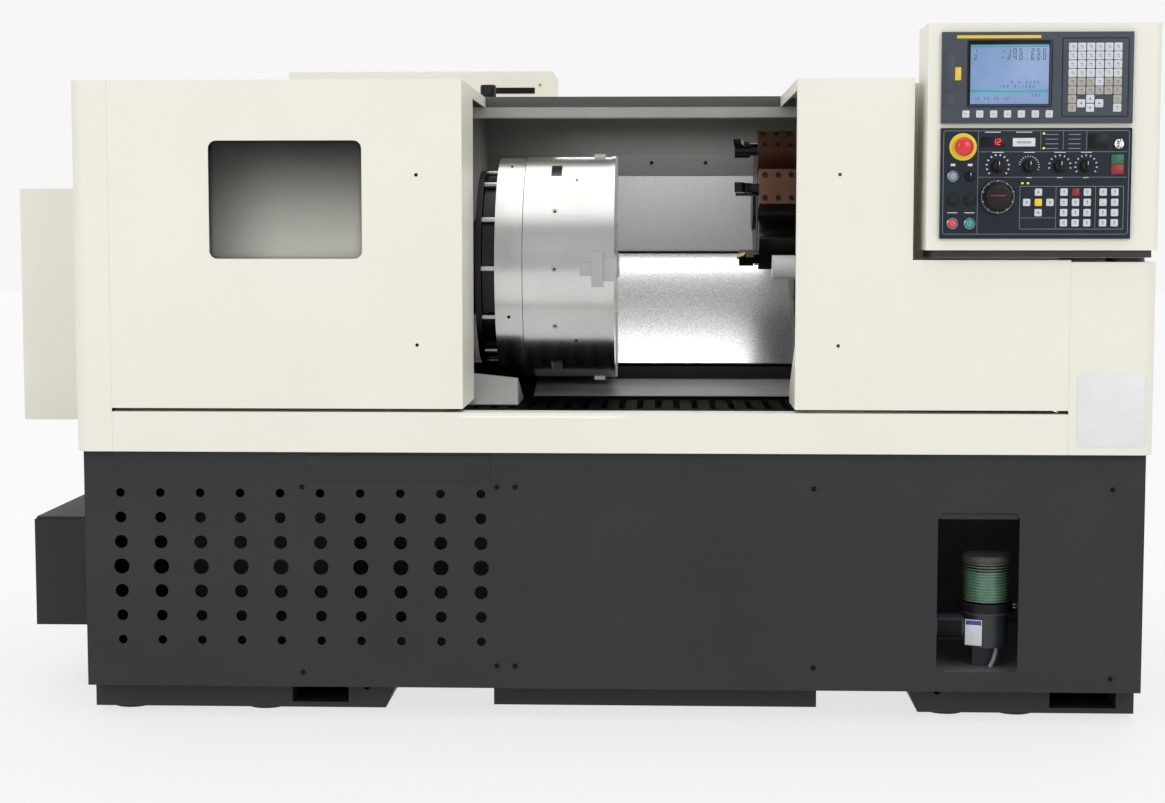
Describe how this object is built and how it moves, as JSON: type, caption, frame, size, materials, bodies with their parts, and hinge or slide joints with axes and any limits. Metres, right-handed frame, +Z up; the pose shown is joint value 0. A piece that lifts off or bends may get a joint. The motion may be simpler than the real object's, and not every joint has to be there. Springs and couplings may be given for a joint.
{
  "type": "cnc turning lathe",
  "caption": "Enclosed slant-bed turning lathe with sliding doors, a large jaw chuck, tool turret, tailstock and a swivelling control pendant on a dark base.",
  "frame": {"origin": "on the floor under the middle of the machine's whole footprint", "axes": "+X along the spindle from chuck to tailstock, +Y to the back of the machine, +Z up"},
  "size_m": [2.637, 1.733, 1.549],
  "materials": {
    "cream_paint": "fine-textured cream enamel",
    "charcoal_paint": "fine-textured charcoal enamel",
    "cast_paint": "machined and painted casting",
    "bright_steel": "ground and polished steel",
    "dark_steel": "black oxide steel",
    "grey_sheet": "grey painted sheet",
    "stainless_sheet": "bead-blasted stainless sheet",
    "black_sheet": "dark painted sheet",
    "motor_black": "black paint",
    "belt_rubber": "ribbed rubber",
    "holder_brown": "brown tempered steel",
    "tool_steel": "dark tool steel",
    "window_glass": "clear laminated glass",
    "pump_grey": "grey die-cast housing",
    "reservoir_clear": "clear plastic with oil",
    "panel_navy": "blue-grey plastic",
    "estop_red": "red plastic",
    "knob_black": "black plastic",
    "key_chrome": "chrome",
    "button_grey": "grey lens",
    "button_red": "red lens",
    "button_green": "green lens"
  },
  "bodies": {
    "machine": {"bed_casting": "cast_paint", "base_front_panel": "charcoal_paint", "base_side_panels": "charcoal_paint", "feet": "charcoal_paint", "headstock": "cast_paint", "spindle_bearings": "bright_steel", "main_motor": "motor_black", "drive_belt": "belt_rubber", "z_rails": "bright_steel", "z_motor": "motor_black", "splash_walls": "grey_sheet", "chip_tray": "black_sheet", "front_panels": "cream_paint", "header_rail": "grey_sheet", "rear_enclosure": "cream_paint", "electric_cabinet": "cream_paint", "hydraulic_tank": "charcoal_paint", "lube_pump": "pump_grey", "lube_reservoir": "reservoir_clear", "pendant_neck": "motor_black"},
    "cabinet_door": {"cabinet_door": "cream_paint"},
    "left_door": {"left_door": "cream_paint", "door_window": "window_glass"},
    "right_door": {"right_door": "cream_paint"},
    "spindle": {"spindle": "bright_steel", "spindle_pulley": "dark_steel", "chuck_backplate": "dark_steel", "chuck_body": "bright_steel", "chuck_front_plate": "bright_steel"},
    "jaw_1": {"jaw_1": "bright_steel"},
    "jaw_2": {"jaw_2": "bright_steel"},
    "jaw_3": {"jaw_3": "bright_steel"},
    "jaw_4": {"jaw_4": "bright_steel"},
    "motor_pulley": {"motor_pulley": "dark_steel"},
    "saddle": {"saddle": "cast_paint", "way_cover": "stainless_sheet", "x_motor": "motor_black"},
    "z_screw": {"z_screw": "bright_steel"},
    "cross_slide": {"cross_slide": "cast_paint", "turret_housing": "cast_paint"},
    "x_screw": {"x_screw": "bright_steel"},
    "turret": {"turret_disc": "dark_steel", "tool_holders": "holder_brown", "cutting_tools": "tool_steel"},
    "tailstock": {"tailstock": "cast_paint"},
    "quill": {"quill": "bright_steel"},
    "pendant": {"pendant_box": "cream_paint", "display_unit": "panel_navy", "operator_panel": "panel_navy"},
    "estop": {"estop": "estop_red"},
    "handwheel": {"handwheel": "knob_black"},
    "selector_1": {"selector_1": "knob_black"},
    "selector_2": {"selector_2": "knob_black"},
    "selector_3": {"selector_3": "knob_black"},
    "selector_4": {"selector_4": "knob_black"},
    "key_switch": {"key_switch": "key_chrome"},
    "push_grey": {"push_grey": "button_grey"},
    "selector_small": {"selector_small": "knob_black"},
    "push_red": {"push_red": "button_red"},
    "push_green": {"push_green": "button_green"}
  },
  "joints": [
    {"name": "left_door_slide", "type": "slide", "parent": "machine", "child": "left_door", "axis": [1, 0, 0], "range_m": [0, 0.364]},
    {"name": "right_door_slide", "type": "slide", "parent": "machine", "child": "right_door", "axis": [-1, 0, 0], "range_m": [0, 0.371]},
    {"name": "cabinet_door_swing", "type": "hinge", "parent": "machine", "child": "cabinet_door", "pos_m": [0.2285, 0.8585, 0.875], "axis": [0, 0, -1], "range_deg": [0, 110]},
    {"name": "spindle_turn", "type": "hinge", "parent": "machine", "child": "spindle", "pos_m": [-0.2325, -0.1765, 1.012], "axis": [1, 0, 0], "continuous": true},
    {"name": "jaw_1_slide", "type": "slide", "parent": "spindle", "child": "jaw_1", "axis": [0, 0, 1], "range_m": [-0.01, 0.006]},
    {"name": "jaw_2_slide", "type": "slide", "parent": "spindle", "child": "jaw_2", "axis": [0, -1, 0], "range_m": [-0.01, 0.006]},
    {"name": "jaw_3_slide", "type": "slide", "parent": "spindle", "child": "jaw_3", "axis": [0, 0, -1], "range_m": [-0.01, 0.006]},
    {"name": "jaw_4_slide", "type": "slide", "parent": "spindle", "child": "jaw_4", "axis": [0, 1, 0], "range_m": [-0.01, 0.006]},
    {"name": "motor_pulley_turn", "type": "hinge", "parent": "machine", "child": "motor_pulley", "pos_m": [-0.9705, -0.3765, 0.33], "axis": [1, 0, 0], "continuous": true},
    {"name": "saddle_slide", "type": "slide", "parent": "machine", "child": "saddle", "axis": [1, 0, 0], "range_m": [-0.22, 0.2]},
    {"name": "z_screw_turn", "type": "hinge", "parent": "machine", "child": "z_screw", "pos_m": [0, 0.25199, 0.82984], "axis": [1, 0, 0], "continuous": true},
    {"name": "cross_slide_move", "type": "slide", "parent": "saddle", "child": "cross_slide", "axis": [0, 0.866, 0.5], "range_m": [-0.027, 0.12]},
    {"name": "x_screw_turn", "type": "hinge", "parent": "saddle", "child": "x_screw", "pos_m": [0.6995, -0.0315, 0.76085], "axis": [0, 0.866, 0.5], "continuous": true},
    {"name": "turret_turn", "type": "hinge", "parent": "cross_slide", "child": "turret", "pos_m": [0.5265, 0.08331, 1.162], "axis": [1, 0, 0], "continuous": true},
    {"name": "tailstock_slide", "type": "slide", "parent": "machine", "child": "tailstock", "axis": [1, 0, 0], "range_m": [-0.05, 0.07]},
    {"name": "quill_slide", "type": "slide", "parent": "tailstock", "child": "quill", "axis": [-1, 0, 0], "range_m": [0, 0.1]},
    {"name": "pendant_swivel", "type": "hinge", "parent": "machine", "child": "pendant", "pos_m": [1.2585, -0.7165, 1.075], "axis": [0, 0, 1], "range_deg": [0, 60]},
    {"name": "estop_push", "type": "slide", "parent": "pendant", "child": "estop", "axis": [0, 1, 0], "range_m": [0, 0.005], "stiffness_N_per_m": 4000},
    {"name": "handwheel_turn", "type": "hinge", "parent": "pendant", "child": "handwheel", "pos_m": [0.9572, -0.8265, 1.17644], "axis": [0, 1, 0], "continuous": true},
    {"name": "selector_1_turn", "type": "hinge", "parent": "pendant", "child": "selector_1", "pos_m": [0.9572, -0.8265, 1.24237], "axis": [0, 1, 0], "range_deg": [-60, 60]},
    {"name": "selector_2_turn", "type": "hinge", "parent": "pendant", "child": "selector_2", "pos_m": [1.02428, -0.8265, 1.24237], "axis": [0, 1, 0], "range_deg": [-60, 60]},
    {"name": "selector_3_turn", "type": "hinge", "parent": "pendant", "child": "selector_3", "pos_m": [1.09013, -0.8265, 1.24237], "axis": [0, 1, 0], "range_deg": [-60, 60]},
    {"name": "selector_4_turn", "type": "hinge", "parent": "pendant", "child": "selector_4", "pos_m": [1.14616, -0.8265, 1.24237], "axis": [0, 1, 0], "range_deg": [-60, 60]},
    {"name": "key_switch_turn", "type": "hinge", "parent": "pendant", "child": "key_switch", "pos_m": [1.21487, -0.8265, 1.28949], "axis": [0, 1, 0], "range_deg": [0, 90]},
    {"name": "push_grey_press", "type": "slide", "parent": "pendant", "child": "push_grey", "axis": [0, 1, 0], "range_m": [0, 0.004], "stiffness_N_per_m": 800},
    {"name": "selector_small_turn", "type": "hinge", "parent": "pendant", "child": "selector_small", "pos_m": [0.89789, -0.8265, 1.22047], "axis": [0, 1, 0], "range_deg": [-45, 45]},
    {"name": "push_red_press", "type": "slide", "parent": "pendant", "child": "push_red", "axis": [0, 1, 0], "range_m": [0, 0.004], "stiffness_N_per_m": 800},
    {"name": "push_green_press", "type": "slide", "parent": "pendant", "child": "push_green", "axis": [0, 1, 0], "range_m": [0, 0.004], "stiffness_N_per_m": 800}
  ],
  "couplings": [
    {"joint": "jaw_2_slide", "follows": "jaw_1_slide", "ratio": 1},
    {"joint": "jaw_3_slide", "follows": "jaw_1_slide", "ratio": 1},
    {"joint": "jaw_4_slide", "follows": "jaw_1_slide", "ratio": 1},
    {"joint": "motor_pulley_turn", "follows": "spindle_turn", "ratio": 1.5556},
    {"joint": "z_screw_turn", "follows": "saddle_slide", "rad_per_m": 523.6},
    {"joint": "x_screw_turn", "follows": "cross_slide_move", "rad_per_m": 628.32}
  ]
}
